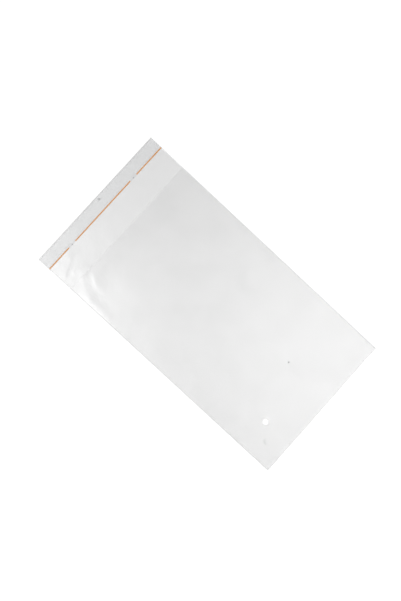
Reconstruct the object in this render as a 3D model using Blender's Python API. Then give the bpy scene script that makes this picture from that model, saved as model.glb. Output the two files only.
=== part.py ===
"""A self-seal bag of clear film, empty and lying flat on its back, with its mouth and lip towards +Y.

One sheet of film is folded across the bottom and welded along both sides, so that it makes a back wall,
a slightly shorter front wall and a single lip beyond the mouth. The lip carries a strip of adhesive
under a release liner, whose inner edge has a broken coloured line printed along it. Both walls have one
round vent hole. The origin is under the middle of the whole bag, on the surface that it lies on.
"""

import math

import bmesh
import bpy
import numpy as np

# Film and outline
WIDTH = 0.155  # across both side welds
BODY_LENGTH = 0.251  # bottom fold to the mouth
LIP_LENGTH = 0.0405  # mouth to the end of the lip
FILM = 0.00004  # gauge of the film
BEND_STEPS = 4  # facets round the outside of the bottom fold

# Side welds, where a hot knife cuts the film and melts its edge into a fine bead
WELD_WIDTH = 0.0011
BEAD_WIDTH = 0.00032
BEAD_HEIGHT = 0.00007  # above the film beside it

# Air left between the walls
PILLOW_GAP = 0.0007  # most space between the two walls
MOUTH_GAP = 0.0004  # space between them at the middle of the mouth
RIPPLE_HEIGHT = 0.00009
RIPPLE_LENGTH = 0.083
RIPPLE_WIDTH = 0.061

# Creases where the front wall is crumpled beside the left end of the mouth
CREASE_HEIGHT = 0.0003
CREASE_WIDTH = 0.0036
CREASE_LENGTH = 0.0095
CREASE_PITCH = 0.0078
CREASE_COUNT = 2
CREASE_ANGLE = math.radians(61)
CREASE_FROM_SIDE = 0.0127
CREASE_FROM_MOUTH = 0.0125

# Vent hole through both walls
VENT_DIAMETER = 0.006
VENT_FROM_SIDE = 0.0322
VENT_FROM_FOLD = 0.0322
VENT_SIDES = 32

# Adhesive and its release liner, on the lip's inner face
ADHESIVE_WIDTH = 0.0098
ADHESIVE_THICKNESS = 0.00003
ADHESIVE_FROM_END = 0.0016
LINER_WIDTH = 0.0137
LINER_THICKNESS = 0.00004
LINER_FROM_END = 0.0005

# Broken line and round marks printed on the liner
INK = 0.00001
LINE_WIDTH = 0.0010
LINE_FROM_LINER_EDGE = 0.00025
LINE_PITCH = 0.0844
LINE_GAP = 0.0086
FIRST_GAP_FROM_SIDE = 0.0315  # left side of the bag to the middle of the first gap
MARK_DIAMETER = 0.0013
MARK_SIDES = 16

# Spacing of the points on the bowed front wall
COLUMN_STEP = 0.0058
ROW_STEP = 0.0066
FINE_SHARE = 0.5  # step beside the creases, as a share of the usual one

HALF = WIDTH / 2
FOLD_Y = -(BODY_LENGTH + LIP_LENGTH) / 2
MOUTH_Y = FOLD_Y + BODY_LENGTH
END_Y = MOUTH_Y + LIP_LENGTH
CAVITY_HALF = HALF - WELD_WIDTH
FOLD_INSIDE_Y = FOLD_Y + FILM


def clear_scene():
    for item in list(bpy.data.objects):
        bpy.data.objects.remove(item, do_unlink=True)


def material(name, colour, roughness, alpha=1.0):
    made = bpy.data.materials.new(name)
    made.use_nodes = True
    shader = made.node_tree.nodes["Principled BSDF"]
    shader.inputs["Base Color"].default_value = (*colour, 1.0)
    shader.inputs["Roughness"].default_value = roughness
    shader.inputs["Metallic"].default_value = 0.0
    shader.inputs["Alpha"].default_value = alpha
    return made


def add_object(name, mesh_source, finish):
    mesh = bpy.data.meshes.new(name)
    mesh_source.to_mesh(mesh)
    mesh_source.free()
    mesh.materials.append(finish)
    made = bpy.data.objects.new(name, mesh)
    bpy.context.scene.collection.objects.link(made)
    return made


def crease_rise(x, y):
    """Parallel pinched folds, each a rounded ridge that dies away along its length and across it."""
    rise = np.zeros(np.broadcast(x, y).shape)
    along = np.array([math.cos(CREASE_ANGLE), math.sin(CREASE_ANGLE)])
    for index in range(CREASE_COUNT):
        px = x - (CREASE_FROM_SIDE - HALF + index * CREASE_PITCH)
        py = y - (MOUTH_Y - CREASE_FROM_MOUTH)
        length = (px * along[0] + py * along[1]) / CREASE_LENGTH
        width = (px * along[1] - py * along[0]) / CREASE_WIDTH
        rise = rise + CREASE_HEIGHT / (index + 1) * np.exp(-(length**2) - width**2)
    return rise


def wall_gap(x, y):
    """Space between the walls. It grows from nothing at the welds and the fold to a low pillow, with
    broad ripples and the creases, and is nearly closed again at the mouth."""
    across = 1 - np.clip(np.abs(x) / CAVITY_HALF, 0, 1) ** 4
    run = np.clip((y - FOLD_INSIDE_Y) / (MOUTH_Y - FOLD_INSIDE_Y), 0, 1)
    along = 1 - (1 - run) ** 4
    pillow = PILLOW_GAP - (PILLOW_GAP - MOUTH_GAP) * run**3
    ripple = RIPPLE_HEIGHT * np.sin(2 * math.pi * (y / RIPPLE_LENGTH + 0.35 * np.sin(x / RIPPLE_WIDTH)))
    ripple = ripple * np.cos(2 * math.pi * x / RIPPLE_WIDTH)
    return across * along * (pillow + ripple + crease_rise(x, y))


def bead_rise(x):
    """Height of the melted edge above the film beside it: half an ellipse across the bead."""
    across = np.clip((HALF - np.abs(x)) / BEAD_WIDTH, 0, 1)
    return BEAD_HEIGHT * 2 * np.sqrt(across * (1 - across))


def stations(start, end, step, fine_from, fine_to):
    """Points from start to end at about one step apart, and closer between fine_from and fine_to."""
    dense = np.linspace(start, end, 2001)
    fine = (dense >= fine_from) & (dense <= fine_to)
    density = np.where(fine, 1 / FINE_SHARE, 1.0)
    travelled = np.concatenate([[0], np.cumsum((density[1:] + density[:-1]) / 2)])
    count = max(4, round(travelled[-1] * (dense[1] - dense[0]) / step))
    return np.interp(np.linspace(0, travelled[-1], count + 1), travelled, dense)


def outer_path(x, rows):
    """Outside of the film in one column: under the lip and back, round the fold and up the front wall."""
    turn = np.linspace(-math.pi / 2, math.pi / 2, BEND_STEPS + 1)
    under_y = np.array([END_Y])
    fold_y = FOLD_INSIDE_Y - FILM * np.cos(turn)
    fold_z = FILM + FILM * np.sin(turn)
    front_z = 2 * FILM + wall_gap(x, rows[1:]) + bead_rise(x)
    y = np.concatenate([under_y, fold_y, rows[1:]])
    z = np.concatenate([[0], fold_z, front_z])
    return y, z


def column_points(x, rows, is_open):
    """The closed outline of the film in one column, as (count, 3) points. An open column also runs
    back down the inside of the front wall and along the inside of the back wall."""
    y, z = outer_path(x, rows)
    lip_z = FILM + bead_rise(x)
    if is_open:
        inside = rows[::-1]
        y = np.concatenate([y, inside, rows[1:], [END_Y]])
        z = np.concatenate([z, FILM + wall_gap(x, inside), np.full(len(rows) - 1, FILM), [FILM]])
    else:
        y = np.concatenate([y, [MOUTH_Y, END_Y]])
        z = np.concatenate([z, [lip_z, lip_z]])
    return np.stack([np.full(len(y), x), y, z], axis=1)


def carry_across(shape, columns, rows, is_open):
    """Joins the outlines of neighbouring columns with quads, and gives the last and first outline."""
    outlines = []
    for x in columns:
        points = column_points(x, rows, is_open)
        outlines.append([shape.verts.new(point) for point in points])
    for left, right in zip(outlines, outlines[1:]):
        count = len(left)
        for index in range(count):
            after = (index + 1) % count
            shape.faces.new((left[index], left[after], right[after], right[index]))
    return outlines[0], outlines[-1]


def film_shape():
    """The whole film as one body: open columns between the welds, closed columns in each weld, and
    a flat end at each side."""
    crumple_end = CREASE_FROM_SIDE - HALF + (CREASE_COUNT - 0.5) * CREASE_PITCH
    crumple_low = MOUTH_Y - CREASE_FROM_MOUTH - 1.6 * CREASE_LENGTH
    inner = stations(-CAVITY_HALF, CAVITY_HALF, COLUMN_STEP, -CAVITY_HALF, crumple_end)
    rows = stations(FOLD_INSIDE_Y, MOUTH_Y, ROW_STEP, crumple_low, MOUTH_Y)
    bead = BEAD_WIDTH * np.array([0, 0.15, 0.5, 0.85, 1])
    weld = np.concatenate([bead, [WELD_WIDTH]])
    shape = bmesh.new()
    carry_across(shape, inner, rows, True)
    first, _ = carry_across(shape, weld - HALF, rows, False)
    _, last = carry_across(shape, HALF - weld[::-1], rows, False)
    shape.faces.new(first)
    shape.faces.new(last[::-1])
    bmesh.ops.remove_doubles(shape, verts=shape.verts, dist=1e-6)
    bmesh.ops.dissolve_degenerate(shape, edges=shape.edges, dist=1e-7)
    bmesh.ops.recalc_face_normals(shape, faces=shape.faces)
    return shape


def vent_cutter():
    """The punch: a round bar through both walls, which the film's Boolean takes away."""
    shape = bmesh.new()
    height = 2 * (PILLOW_GAP + CREASE_HEIGHT) + 8 * FILM
    bmesh.ops.create_cone(
        shape, cap_ends=True, segments=VENT_SIDES,
        radius1=VENT_DIAMETER / 2, radius2=VENT_DIAMETER / 2, depth=2 * height,
    )
    cutter = add_object("vent_punch", shape, material("punch", (0.5, 0.5, 0.5), 0.5))
    cutter.location = (VENT_FROM_SIDE - HALF, FOLD_Y + VENT_FROM_FOLD, 0)
    cutter.hide_render = True
    cutter.display_type = "WIRE"
    return cutter


def make_film(finish):
    film = add_object("bag_film", film_shape(), finish)
    punch = film.modifiers.new("vent", "BOOLEAN")
    punch.operation = "DIFFERENCE"
    punch.object = vent_cutter()
    return film


def make_strip(name, x_from, x_to, y_from, y_to, z_from, thickness, finish):
    """A flat strip: its outline drawn on the surface below it and raised by its thickness."""
    shape = bmesh.new()
    corners = ((x_from, y_from), (x_to, y_from), (x_to, y_to), (x_from, y_to))
    low = [shape.verts.new((x, y, z_from)) for x, y in corners]
    high = [shape.verts.new((x, y, z_from + thickness)) for x, y in corners]
    shape.faces.new(low[::-1])
    shape.faces.new(high)
    for index in range(len(low)):
        after = (index + 1) % len(low)
        shape.faces.new((low[index], low[after], high[after], high[index]))
    return add_object(name, shape, finish)


def make_mark(name, x, y, z_from, finish):
    shape = bmesh.new()
    bmesh.ops.create_cone(
        shape, cap_ends=True, segments=MARK_SIDES,
        radius1=MARK_DIAMETER / 2, radius2=MARK_DIAMETER / 2, depth=INK,
    )
    bmesh.ops.translate(shape, verts=shape.verts, vec=(x, y, z_from + INK / 2))
    return add_object(name, shape, finish)


def make_closure():
    """Adhesive, liner and print, each lying flat on the one below it."""
    strip_half = HALF - BEAD_WIDTH
    adhesive_end = END_Y - ADHESIVE_FROM_END
    liner_z = FILM + ADHESIVE_THICKNESS
    liner_end = END_Y - LINER_FROM_END
    liner_start = liner_end - LINER_WIDTH
    ink_z = liner_z + LINER_THICKNESS
    line_start = liner_start + LINE_FROM_LINER_EDGE
    make_strip(
        "adhesive_strip", -strip_half, strip_half, adhesive_end - ADHESIVE_WIDTH, adhesive_end,
        FILM, ADHESIVE_THICKNESS, material("adhesive", (0.83, 0.85, 0.86), 0.35, 0.5),
    )
    make_strip(
        "release_liner", -strip_half, strip_half, liner_start, liner_end,
        liner_z, LINER_THICKNESS, material("liner", (0.86, 0.88, 0.90), 0.22, 0.4),
    )
    orange = material("orange_ink", (0.82, 0.23, 0.015), 0.45)
    grey = material("grey_ink", (0.30, 0.30, 0.32), 0.5)
    gap_middle = FIRST_GAP_FROM_SIDE - HALF
    dash_from = -strip_half
    number = 1
    while gap_middle - LINE_GAP / 2 < strip_half:
        make_strip(
            f"peel_line_{number}", dash_from, gap_middle - LINE_GAP / 2,
            line_start, line_start + LINE_WIDTH, ink_z, INK, orange,
        )
        make_mark(f"peel_mark_{number}", gap_middle, line_start + LINE_WIDTH / 2, ink_z, grey)
        dash_from = gap_middle + LINE_GAP / 2
        gap_middle += LINE_PITCH
        number += 1
    make_strip(
        f"peel_line_{number}", dash_from, strip_half,
        line_start, line_start + LINE_WIDTH, ink_z, INK, orange,
    )


clear_scene()
make_film(material("clear_film", (0.90, 0.91, 0.92), 0.12, 0.3))
make_closure()
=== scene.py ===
"""Looks of a self-seal bag of clear film that lies empty and flat on a white table.

The bag lies along Y with its lip at +Y, and its left and right sides are at -X and +X.
"""

import math

import bpy
import numpy as np
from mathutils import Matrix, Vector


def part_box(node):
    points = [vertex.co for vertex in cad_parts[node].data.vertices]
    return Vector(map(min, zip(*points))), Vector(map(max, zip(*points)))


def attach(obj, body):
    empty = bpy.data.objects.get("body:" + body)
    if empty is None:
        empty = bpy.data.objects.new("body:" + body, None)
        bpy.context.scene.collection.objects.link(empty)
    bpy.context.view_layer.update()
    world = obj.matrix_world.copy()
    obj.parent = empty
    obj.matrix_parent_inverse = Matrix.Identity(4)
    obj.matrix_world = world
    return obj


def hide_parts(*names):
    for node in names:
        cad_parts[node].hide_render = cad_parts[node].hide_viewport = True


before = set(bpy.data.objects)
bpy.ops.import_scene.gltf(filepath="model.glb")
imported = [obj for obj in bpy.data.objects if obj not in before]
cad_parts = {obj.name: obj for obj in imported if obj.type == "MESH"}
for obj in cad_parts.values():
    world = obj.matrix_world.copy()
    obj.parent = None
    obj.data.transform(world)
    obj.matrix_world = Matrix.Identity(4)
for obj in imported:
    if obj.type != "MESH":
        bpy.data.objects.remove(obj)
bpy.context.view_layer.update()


# Bag film
# One sheet of clear polypropylene, folded over at the bottom and welded along both sides by a hot
# knife, which leaves a fine bead. The back wall runs on past the mouth as a single lip, and the film
# is crumpled beside the left end of the mouth. One vent hole was punched through both walls.
film_low, film_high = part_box("bag_film")
half_width = film_high.x
fold_y = film_low.y
end_y = film_high.y
lip_length = 0.0405
mouth_y = end_y - lip_length
gauge = 0.00004
fold_sides = 6  # faces round the fold
weld_width = 0.0011
bead_width = 0.00032
bead_height = 0.000018
cavity_half = half_width - weld_width

# The space between the walls.
pillow_gap = 0.0006
mouth_gap = 0.0003
ripple_height = 0.00006
ripple_length = 0.083
ripple_width = 0.061
ripple_sway = 0.35  # how far the ripples wander, in ripple lengths
least_gap = 0.00002  # air between walls that lie together
least_gap_from = 0.0015  # how far inside the welds and the fold it is reached
mouth_curl = 0.00012
mouth_curl_width = 0.0011
full_curl_from = 0.4  # the curl is at its full height where the pillow has this share of its own

# Each crease has the two ends of its crest, measured from the left end of the mouth, then its widths
# to the left and to the right of the crest, and its height.
broad_crease = ((0.0051, -0.0152), (0.0182, 0.0014), 0.0046, 0.0090, 0.000055)
narrow_crease = ((0.0184, -0.0156), (0.0236, -0.0086), 0.0028, 0.0060, 0.000080)
low_lip_crease = ((0.0259, 0.0022), (0.0130, 0.0075), 0.0013, 0.0030, 0.00006)
high_lip_crease = ((0.0070, 0.0127), (0.0215, 0.0190), 0.0085, 0.0016, 0.00007)
side_curl = ((0.0040, -0.0440), (0.0042, -0.0200), 0.0036, 0.0055, 0.00006)
creases = (broad_crease, narrow_crease, low_lip_crease, high_lip_crease, side_curl)


def ridge(x, y, start, end, wide_left, wide_right, height):
    """A rounded crease: height times a bell curve of the distance to the line from start to end. The
    bell is wide_left on the line's left and wide_right on its right, and past its ends the width goes
    over from one to the other with the sine of the angle to the line."""
    from_x, from_y = start[0] - half_width, start[1] + mouth_y
    dx, dy = end[0] - start[0], end[1] - start[1]
    run = np.clip(((x - from_x) * dx + (y - from_y) * dy) / (dx * dx + dy * dy), 0, 1)
    off_x, off_y = x - from_x - run * dx, y - from_y - run * dy
    away = np.maximum(np.hypot(off_x, off_y), 1e-9)
    share = 0.5 + 0.5 * (dx * off_y - dy * off_x) / np.hypot(dx, dy) / away
    width = wide_right + (wide_left - wide_right) * share
    return height * np.exp(-(off_x**2 + off_y**2) / width**2)


def back_height(x, y):
    """Height of the back wall and lip over the table: the sum of all creases."""
    return sum(ridge(x, y, *crease) for crease in creases)


def wall_gap(x, y):
    """Space between the walls: a low pillow and broad ripples, a thin layer of air, and the front
    wall's curl at the mouth. Across, the pillow is one less the square of x over the cavity's half,
    to the power 1.5. From the fold on, it is one less the cube of what is left up to the mouth, and
    its height goes over from the pillow's to the mouth's with the cube of the way. The ripples are a
    sine along the bag times a cosine across it, the curl is a bell curve, and the air grows evenly
    from the welds and the fold to its full height."""
    across = (1 - np.clip(np.abs(x) / cavity_half, 0, 1) ** 2) ** 1.5
    run = np.clip((y - fold_y) / (mouth_y - fold_y), 0, 1)
    along = 1 - (1 - run) ** 3
    pillow = pillow_gap - (pillow_gap - mouth_gap) * run**3
    turns = y / ripple_length + ripple_sway * np.sin(x / ripple_width)
    ripple = ripple_height * np.sin(2 * math.pi * turns) * np.cos(2 * math.pi * x / ripple_width)
    curl = mouth_curl * np.exp(-(((mouth_y - y) / mouth_curl_width) ** 2))
    inside = np.minimum(cavity_half - np.abs(x), y - fold_y)
    air = least_gap * np.clip(inside / least_gap_from, 0, 1)
    return across * along * (pillow + ripple) + air + np.minimum(across / full_curl_from, 1) * curl


def bead_rise(x):
    """Height of the melted edge over the film beside it: half an ellipse across the bead."""
    across = np.clip((half_width - np.abs(x)) / bead_width, 0, 1)
    return bead_height * 2 * np.sqrt(across * (1 - across))


# The folded edge isn't quite straight: it has two slow waves, given by the length of a radian, the
# share of the height and the phase, and a small step near its right end.
fold_wave_height = 0.00008
fold_waves = ((0.019, 1.0, 0.0), (0.0071, 0.6, 1.3))
fold_step_share = 5.0
fold_step_start, fold_step_rise = 0.058, 0.0012
fold_step_end, fold_step_fall = 0.070, 0.0015
fold_wave_reach = 0.006


def smooth_step(x, place, blur):
    """0 before place and 1 after it: one over one plus the exponential of minus the distance past
    place over blur."""
    return 1 / (1 + np.exp(-(x - place) / blur))


def fold_wave(x):
    """How far the folded edge strays along Y: the sum of the sines of its waves, and its step."""
    step = smooth_step(x, fold_step_start, fold_step_rise) - smooth_step(x, fold_step_end, fold_step_fall)
    waves = sum(share * np.sin(x / radian + phase) for radian, share, phase in fold_waves)
    return fold_wave_height * (waves + fold_step_share * step)


# Cells of the film's mesh. They are finer in the crumpled corner, which reaches this far below and
# above the mouth and from the left side.
fine_cell = 0.0008
body_cell = 0.0030
lip_cell = 0.0020
crumple_below = 0.050
crumple_above = 0.024
crumple_across = 0.034
fold_row = 6 * gauge  # how far in from the fold the first row reaches


def stations(start, end, cell, fine_from, fine_to):
    """Values from start to end about one cell apart, and one fine cell apart in the given stretch:
    the running sum of the wanted density, read back at even steps."""
    samples = 4001
    dense = np.linspace(start, end, samples)
    is_fine = (dense >= fine_from) & (dense <= fine_to)
    density = np.where(is_fine, 1 / fine_cell, 1 / cell) * (dense[1] - dense[0])
    travelled = np.cumsum(density) - density[0]
    return np.interp(np.linspace(0, travelled[-1], round(travelled[-1]) + 1), travelled, dense)


def film_outlines(columns, is_open):
    """The closed outline of the film in each column, as points (columns, outline, 3). It runs back
    under the lip and the back wall, round the fold and up the outside of the front wall; in an open
    column it goes down the inside of the front wall and up the inside of the back wall; then it
    goes along the top of the lip."""
    body = stations(fold_y + gauge, mouth_y, body_cell, mouth_y - crumple_below, mouth_y)
    body = np.insert(body, 1, fold_y + fold_row)
    lip = stations(mouth_y, end_y, lip_cell, mouth_y, mouth_y + crumple_above)
    turn = np.linspace(-math.pi / 2, math.pi / 2, fold_sides + 1)[1:-1]
    x = columns[:, None]
    gap_up = wall_gap(x, body)
    back_up = back_height(x, body)
    bead = bead_rise(x)
    parts = [
        (lip[:0:-1], back_height(x, lip[:0:-1])),
        (body[::-1], back_up[:, ::-1]),
        (fold_y + gauge * (1 - np.cos(turn)), back_up[:, :1] + gauge * (1 + np.sin(turn))),
        (body, back_up + gap_up + 2 * gauge + bead),
    ]
    if is_open:
        parts.append((body[::-1], (back_up + gap_up)[:, ::-1] + gauge))
        parts.append((body[1:], back_up[:, 1:] + gauge))
        parts.append((lip[1:], back_height(x, lip[1:]) + gauge + bead))
    else:
        parts.append((lip, back_height(x, lip) + gauge + bead))
    y = np.concatenate([np.broadcast_to(part[0], part[1].shape) for part in parts], axis=1)
    z = np.concatenate([part[1] for part in parts], axis=1)
    y = y + fold_wave(x) * np.exp(-(y - fold_y) / fold_wave_reach)
    return np.stack([np.broadcast_to(x, y.shape), y, z], axis=2)


def carried(points, closed):
    """Quads between neighbouring columns of a (columns, outline, 3) array, as corner indices. With
    closed, the first and last columns are filled with one face each."""
    columns, count = points.shape[:2]
    index = np.arange(columns * count).reshape(columns, count)
    after = np.roll(index, -1, axis=1)
    quads = np.stack([index[:-1], after[:-1], after[1:], index[1:]], axis=2).reshape(-1, 4).tolist()
    if closed[0]:
        quads.append(index[0, ::-1].tolist())
    if closed[1]:
        quads.append(index[-1].tolist())
    return quads


def new_piece(name, blocks):
    """One mesh from blocks of (points, faces), whose faces count from their own block's points."""
    points = np.concatenate([block[0].reshape(-1, 3) for block in blocks])
    faces = []
    start = 0
    for block_points, block_faces in blocks:
        faces += [[start + corner for corner in face] for face in block_faces]
        start += block_points.size // 3
    mesh = bpy.data.meshes.new(name)
    mesh.from_pydata(points.tolist(), [], faces)
    piece = bpy.data.objects.new(name, mesh)
    bpy.context.scene.collection.objects.link(piece)
    return piece


def apply_modifier(piece, modifier):
    """Works a modifier into the piece's mesh, which takes it off the piece."""
    bpy.context.view_layer.objects.active = piece
    bpy.ops.object.modifier_apply(modifier=modifier.name)


inner = stations(-cavity_half, cavity_half, body_cell, -cavity_half, crumple_across - half_width)
bead_columns = bead_width * np.array([0, 0.15, 0.5, 0.85, 1])
weld = np.concatenate([bead_columns, [weld_width]])
middle = film_outlines(inner, True)
left = film_outlines(weld - half_width, False)
right = film_outlines(half_width - weld[::-1], False)
film = new_piece("film", [
    (middle, carried(middle, (False, False))),
    (left, carried(left, (True, False))),
    (right, carried(right, (False, True))),
])
join = film.modifiers.new("join", "WELD")
join.merge_threshold = 0.000001
apply_modifier(film, join)

# The vent hole is cut by a round punch that reaches past both walls.
vent_radius = 0.0028
vent_inset = 0.0322
vent_x = vent_inset - half_width
vent_y = fold_y + vent_inset
vent_sides = 48
punch_low = -0.004
punch_high = 0.008
turn = np.linspace(0, 2 * math.pi, vent_sides + 1)[:-1]
rim_x = vent_x + vent_radius * np.cos(turn)
rim_y = vent_y + vent_radius * np.sin(turn)
rims = np.stack([np.column_stack([rim_x, rim_y, np.full(vent_sides, z)]) for z in (punch_low, punch_high)])
punch = new_piece("vent_punch", [(rims, carried(rims, (True, True)))])
vent = film.modifiers.new("vent", "BOOLEAN")
vent.operation = "DIFFERENCE"
vent.object = punch
apply_modifier(film, vent)
bpy.data.objects.remove(punch)
film.data.polygons.foreach_set("use_smooth", np.ones(len(film.data.polygons), bool))
film.data.set_sharp_from_angle(angle=math.radians(35))


def read_all(items, name, kind, size=1):
    """One value of every vertex, loop or face of a mesh, as a flat array."""
    values = np.zeros(size * len(items), kind)
    items.foreach_get(name, values)
    return values


# The material tells the front wall by an attribute. Its faces lie short of the mouth and more than
# one gauge above the back wall's underside, by the mean of their corners.
front_rise = 1.05 * gauge
point_x, point_y, point_z = read_all(film.data.vertices, "co", float, 3).reshape(-1, 3).T
corner = read_all(film.data.loops, "vertex_index", int)
first = read_all(film.data.polygons, "loop_start", int)
count = read_all(film.data.polygons, "loop_total", int)
point_rise = point_z - back_height(point_x, point_y)
face_rise = np.add.reduceat(point_rise[corner], first) / count
face_y = np.add.reduceat(point_y[corner], first) / count
is_front = (face_rise > front_rise) & (face_y < mouth_y)
front_wall = film.data.attributes.new("front_wall", "FLOAT", "FACE")
front_wall.data.foreach_set("value", is_front.astype(float))


class Wire:
    """One output socket of a material's nodes. Arithmetic on it adds Math nodes."""

    def __init__(self, tree, socket=None):
        self.tree = tree
        self.socket = socket

    def add(self, kind, settings=None, sockets=None, out=0):
        """Adds a node: its type, its settings, then the values or links of its sockets."""
        node = self.tree.nodes.new("ShaderNode" + kind)
        for name, value in (settings or {}).items():
            setattr(node, name, value)
        for name, value in (sockets or {}).items():
            if isinstance(value, Wire):
                self.tree.links.new(value.socket, node.inputs[name])
            else:
                node.inputs[name].default_value = value
        return Wire(self.tree, node.outputs[out])

    def maths(self, operation, *values):
        """The Math node's operation on the values, which are wires or numbers."""
        return self.add("Math", {"operation": operation}, dict(enumerate(values)))

    def __add__(self, other):
        return self.maths("ADD", self, other)

    def __sub__(self, other):
        return self.maths("SUBTRACT", self, other)

    def __mul__(self, other):
        return self.maths("MULTIPLY", self, other)

    def __rsub__(self, other):
        return self.maths("SUBTRACT", other, self)

    __radd__ = __add__
    __rmul__ = __mul__

    def within(self, distance, blur):
        """1 where this value is under distance, falling smoothly to 0 over blur past it."""
        return self.add("MapRange", {"interpolation_type": "SMOOTHSTEP"}, {
            "Value": self, "From Min": distance, "From Max": distance + blur, "To Min": 1.0, "To Max": 0.0,
        })


def new_material(name):
    """An empty material, as (material, a wire to add its nodes to, its output's surface socket)."""
    made = bpy.data.materials.new(name)
    made.use_nodes = True
    made.node_tree.nodes.clear()
    output = made.node_tree.nodes.new("ShaderNodeOutputMaterial")
    return made, Wire(made.node_tree), output.inputs["Surface"]


def noise(wire, place, scale, detail, roughness=0.5):
    """Soft noise from 0 to 1, whose patches are about one over scale metres wide."""
    return wire.add("TexNoise", sockets={
        "Vector": place, "Scale": scale, "Detail": detail, "Roughness": roughness,
    })


def spot(wire, place, centre, radius):
    """1 within 0.6 of radius of a point, falling smoothly to 0 at 1.4 of radius from it."""
    away = wire.add("VectorMath", {"operation": "DISTANCE"}, {0: place, 1: centre}, out="Value")
    return away.within(radius * 0.6, radius * 0.8)


square_on_mirror = 0.0387  # share of light that polypropylene mirrors when seen square on


def clear_layer(wire, surface, haze, colour, normal, roughness, shine):
    """A clear film's face: see-through, with haze as the share that scatters light in its own
    colour, and a mirror layer over both. The mirror's share grows towards grazing views, on both
    sides of the face alike: the square-on share, and the rest times the fifth power of one less the
    cosine of the angle of view, all times shine."""
    scatter = wire.add("BsdfPrincipled", sockets={
        "Base Color": colour, "Roughness": 0.55, "Normal": normal, "Specular IOR Level": 0.0,
    })
    through = wire.add("BsdfTransparent")
    body = wire.add("MixShader", sockets={0: haze, 1: through, 2: scatter})
    mirror = wire.add("BsdfGlossy", sockets={
        "Color": (1, 1, 1, 1), "Roughness": roughness, "Normal": normal,
    })
    facing = wire.add("LayerWeight", sockets={"Blend": 0.5, "Normal": normal}, out="Facing")
    mirror_share = square_on_mirror + (1 - square_on_mirror) * wire.maths("POWER", facing, 5.0)
    face = wire.add("MixShader", sockets={0: mirror_share * shine, 1: body, 2: mirror})
    wire.tree.links.new(face.socket, surface)


film_grey = (0.42, 0.42, 0.42, 1)
film_roughness = 0.23
back_haze = 0.193
front_haze = 0.040
film_material, wire, surface = new_material("clear_film")
place = wire.add("TexCoord", out="Object")
x = wire.add("SeparateXYZ", sockets={"Vector": place}, out="X")
y = wire.add("SeparateXYZ", sockets={"Vector": place}, out="Y")

# The front wall counts as a part of the back wall where the two are welded.
front = wire.add("Attribute", {"attribute_name": "front_wall"}, out="Fac")
in_weld = (half_width - wire.maths("ABSOLUTE", x)).within(weld_width, blur=0.0001)
two_walls = front * (1.0 - in_weld)

# The front wall is a little hazier, and so darker, in a band beside the mouth.
mouth_band_haze = 0.015
mouth_band = two_walls * (mouth_y - y).within(0.006, blur=0.026)

# The film is hazier and darker along its edges: partly the welds' own clouding, partly painted shade. The
# painted shade on the left weld and the fold fades out from the lower left corner, that on the right weld
# fades from the mouth to the fold, and the lip's cut end is the darkest.
edge_haze_and_shade = 0.022
weld_line_width = 0.0005
end_line_width = 0.0005
fold_line_width = 0.0003
right_line_least = 0.25
right_line_more = 1.1
end_line_share = 2.0
fold_line_share = 0.3
left_weld_shade = y.within(-0.090, blur=0.090)
left_line = (x + half_width).within(weld_line_width, blur=0.0010) * left_weld_shade
right_weld_shade = right_line_least + right_line_more * (mouth_y - y).within(0.020, blur=0.200)
right_line = (half_width - x).within(weld_line_width, blur=0.0010) * right_weld_shade
end_line = (end_y - y).within(end_line_width, blur=0.0012) * end_line_share
fold_shade = fold_line_share * x.within(-0.070, blur=0.060)
fold_line = (y - fold_y).within(fold_line_width, blur=0.0008) * fold_shade
edges = left_line + right_line + end_line + fold_line

# Two dark specks, one on the front wall and one on the lip, and a dark bow-shaped mark near the vent hole,
# which is a spot less a second one that lies over most of it.
speck_haze = 0.35
lip_speck_haze = 0.70
bow_mark_haze = 0.06
speck = spot(wire, place, centre=(0.0109, -0.0923, 0.0002), radius=0.0007)
lip_speck = spot(wire, place, centre=(0.0018, 0.1423, 0), radius=0.0009)
whole_bow_mark = spot(wire, place, centre=(-0.0580, -0.1268, 0), radius=0.0030)
bow_mark = whole_bow_mark * (1.0 - spot(wire, place, centre=(-0.0570, -0.1275, 0), radius=0.0034))
marks = speck * speck_haze + lip_speck * lip_speck_haze + bow_mark * bow_mark_haze

# The whole film is slightly uneven, in its haze and in its surface.
cloud_haze = 0.022
unevenness = 0.00014
dapple_share = 0.2
cloud = noise(wire, place, scale=38.0, detail=2.0)
dapple = noise(wire, place, scale=110.0, detail=0.0)
relief = wire.add("Bump", sockets={
    "Strength": 1.0, "Distance": unevenness, "Height": cloud + dapple * dapple_share,
}, out="Normal")

haze = back_haze + (front_haze - back_haze) * two_walls + mouth_band * mouth_band_haze
haze = haze + (cloud - 0.5) * cloud_haze + edges * edge_haze_and_shade + marks

# The mirror layer is duller on the front wall and under the liner, up to the orange line.
front_dulling = 0.5
liner_dulling = 0.35
under_liner = (end_y - y).within(0.0138, blur=0.0006)
shine = 1.0 - front_dulling * front - liner_dulling * under_liner
clear_layer(wire, surface, haze, film_grey, relief, film_roughness, shine)
film.data.materials.clear()
film.data.materials.append(film_material)
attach(film, "root")
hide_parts("bag_film")


# Adhesive strip
# A band of clear pressure-sensitive adhesive, coated across the inner face of the lip near its end.
# It stays under the liner until the bag is closed.
strip_cells = 59
strip_edge_sides = 4
contact_gap = 0.000003  # between faces that touch in the real bag


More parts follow.
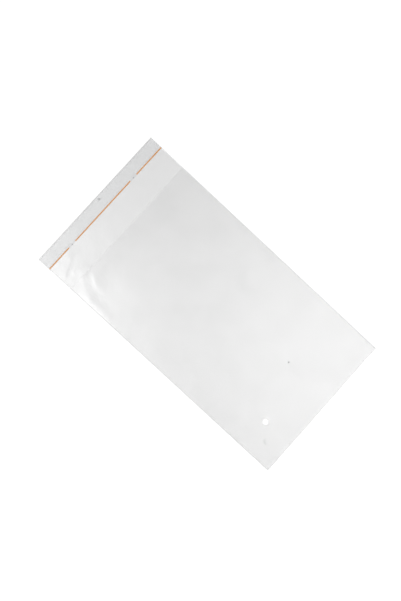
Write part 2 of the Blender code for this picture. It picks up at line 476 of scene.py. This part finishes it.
def strip(name, node, thin):
    """A flat strip on its CAD node's outline, its section a rectangle with rounded long edges,
    raised by the contact gap and thinned by thin so that it keeps clear of its neighbours."""
    low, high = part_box(node)
    bottom, top = low.z + contact_gap, high.z + contact_gap - thin
    radius = (top - bottom) / 2
    turn = np.linspace(-math.pi / 2, math.pi / 2, strip_edge_sides + 1)
    edge_y, edge_z = radius * (1 - np.cos(turn)), radius * (1 + np.sin(turn))
    section_y = np.concatenate([high.y - edge_y, low.y + edge_y[::-1]])
    section_z = bottom + np.concatenate([edge_z, edge_z[::-1]])
    columns = np.linspace(low.x, high.x, strip_cells + 1)[:, None]
    shape = (len(columns), len(section_y))
    points = np.stack([np.broadcast_to(part, shape) for part in (columns, section_y, section_z)], axis=2)
    return new_piece(name, [(points, carried(points, (True, True)))])


adhesive = strip("adhesive", "adhesive_strip", 2 * contact_gap)
adhesive_grey = (0.60, 0.62, 0.64, 1)
adhesive_roughness = 0.35
adhesive_shine = 0.25
adhesive_least_haze = 0.006
adhesive_more_haze = 0.008
adhesive_material, wire, surface = new_material("adhesive")
flow = noise(wire, wire.add("TexCoord", out="Object"), scale=420.0, detail=2.0)
adhesive_haze = adhesive_least_haze + flow * adhesive_more_haze
relief = wire.add("Bump", sockets={"Strength": 0.6, "Distance": 0.00003, "Height": flow}, out="Normal")
clear_layer(wire, surface, adhesive_haze, adhesive_grey, relief, adhesive_roughness, adhesive_shine)
adhesive.data.materials.append(adhesive_material)
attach(adhesive, "root")
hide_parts("adhesive_strip")


# Release liner
# A strip of thin silicone-coated film that covers the adhesive from the end of the lip to the
# orange line. It is peeled off to close the bag.
liner = strip("liner", "release_liner", 2 * contact_gap)
liner_grey = (0.46, 0.48, 0.50, 1)
liner_roughness = 0.45
liner_shine = 0.15
liner_least_haze = 0.034
liner_more_haze = 0.016
liner_material, wire, surface = new_material("liner")
flow = noise(wire, wire.add("TexCoord", out="Object"), scale=130.0, detail=3.0)
liner_haze = liner_least_haze + flow * liner_more_haze
relief = wire.add("Bump", sockets={"Strength": 0.8, "Distance": 0.00006, "Height": flow}, out="Normal")
clear_layer(wire, surface, liner_haze, liner_grey, relief, liner_roughness, liner_shine)
liner.data.materials.append(liner_material)
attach(liner, "root")
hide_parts("release_liner")


# Printed line and marks
# A broken orange line along the liner's inner edge, with a small grey mark in each of its gaps. It
# shows where to peel, and is printed on the liner's upper face.
orange, thin_orange = (0.54, 0.19, 0.010, 1), (0.62, 0.24, 0.015, 1)
grey, thin_grey = (0.24, 0.24, 0.26, 1), (0.32, 0.32, 0.34, 1)
ink_roughness = 0.45


def ink_material(name, colour, thin_colour):
    """Matt ink whose cover varies a little along the print."""
    made, wire, surface = new_material(name)
    cover = noise(wire, wire.add("TexCoord", out="Object"), scale=900.0, detail=2.0, roughness=0.6)
    shade = wire.add("Mix", {"data_type": "RGBA"}, {0: cover, 6: colour, 7: thin_colour}, out=2)
    ink = wire.add("BsdfPrincipled", sockets={"Base Color": shade, "Roughness": ink_roughness})
    wire.tree.links.new(ink.socket, surface)
    return made


orange_ink = ink_material("orange_ink", orange, thin_orange)
grey_ink = ink_material("grey_ink", grey, thin_grey)
for node in sorted(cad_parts):
    if node.startswith("peel_line"):
        dash = strip(node.replace("peel_", ""), node, 0)
        dash.data.materials.append(orange_ink)
        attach(dash, "root")
        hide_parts(node)
    elif node.startswith("peel_mark"):
        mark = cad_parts[node]
        mark.data.materials.clear()
        mark.data.materials.append(grey_ink)


# Table
# A plain white table under the bag. A little light of its own makes it white to the camera, in the
# film's mirror and through the film, and the bag gets only what the table's white paint reflects.
table_half = 4.0
table_z = -0.0003
table_white = (0.86, 0.86, 0.86, 1)
table_lift = 0.19


def seen_directly(wire):
    """1 for rays that show a surface to the camera, in a mirror or through a clear body, else 0."""
    rays = wire.add("LightPath", out="Is Camera Ray")
    for kind in ("Is Glossy Ray", "Is Transmission Ray"):
        rays = wire.maths("MAXIMUM", rays, wire.add("LightPath", out=kind))
    return rays


floor_mesh = bpy.data.meshes.new("floor")
floor_mesh.from_pydata([
    (-table_half, -table_half, table_z),
    (table_half, -table_half, table_z),
    (table_half, table_half, table_z),
    (-table_half, table_half, table_z),
], [], [(0, 1, 2, 3)])
floor = bpy.data.objects.new("floor", floor_mesh)
bpy.context.scene.collection.objects.link(floor)
floor_material, wire, surface = new_material("floor")
paint = wire.add("BsdfDiffuse", sockets={"Color": table_white})
lift = wire.add("Emission", sockets={"Color": (1, 1, 1, 1), "Strength": seen_directly(wire) * table_lift})
both = wire.add("AddShader", sockets={0: paint, 1: lift})
wire.tree.links.new(both.socket, surface)
floor.data.materials.append(floor_material)


# Room
# A white room round the table. It is at full white where the camera, a mirror or a clear body shows
# it, and it lights the bag at less than half of that.
room_light = 0.45
world = bpy.data.worlds.new("studio")
bpy.context.scene.world = world
world.use_nodes = True
world.node_tree.nodes.clear()
wire = Wire(world.node_tree)
room_strength = room_light + seen_directly(wire) * (1 - room_light)
room = wire.add("Background", sockets={"Color": (1, 1, 1, 1), "Strength": room_strength})
output = world.node_tree.nodes.new("ShaderNodeOutputWorld")
world.node_tree.links.new(room.socket, output.inputs["Surface"])


# Lamps
# Two square soft lamps above the bag, at the left and at the right of the view. The film's creases
# and its dull mirror show the left one, which is the stronger.
view_turn = math.radians(-47.62)
view_right = np.array([math.cos(view_turn), math.sin(view_turn)])
view_up = np.array([-math.sin(view_turn), math.cos(view_turn)])
lamp_height = 2.2


def soft_lamp(name, right, up, size, power):
    """A square area lamp, placed right of and above the view's centre. It is turned towards the bag
    by the angle whose tangent is right over the lamp's height."""
    lamp = bpy.data.lights.new(name, "AREA")
    lamp.shape = "SQUARE"
    lamp.size = size
    lamp.energy = power
    made = bpy.data.objects.new(name, lamp)
    made.location = (*(right * view_right + up * view_up), lamp_height)
    made.rotation_euler = (0, math.atan2(right, lamp_height), view_turn)
    bpy.context.scene.collection.objects.link(made)


soft_lamp("lamp_main", right=-0.31, up=-0.24, size=0.75, power=25.0)
soft_lamp("lamp_fill", right=0.76, up=-0.085, size=0.65, power=5.6)


# Camera
# A long lens high above the bag. It looks down at ten degrees off straight, from the left of the
# view, and is turned so that the bag lies aslant in the picture.
camera_place = (-0.2426, 0.2171, 1.8429)
camera_tilt = (math.radians(1.12), math.radians(-9.71))
camera_data = bpy.data.cameras.new("camera")
camera_data.lens = 120
camera_data.sensor_width = 36
camera = bpy.data.objects.new("camera", camera_data)
camera.location = camera_place
camera.rotation_euler = (*camera_tilt, view_turn)
bpy.context.scene.collection.objects.link(camera)
bpy.context.scene.camera = camera
bpy.context.scene.view_settings.view_transform = "Standard"
bpy.context.scene.cycles.transparent_max_bounces = 32
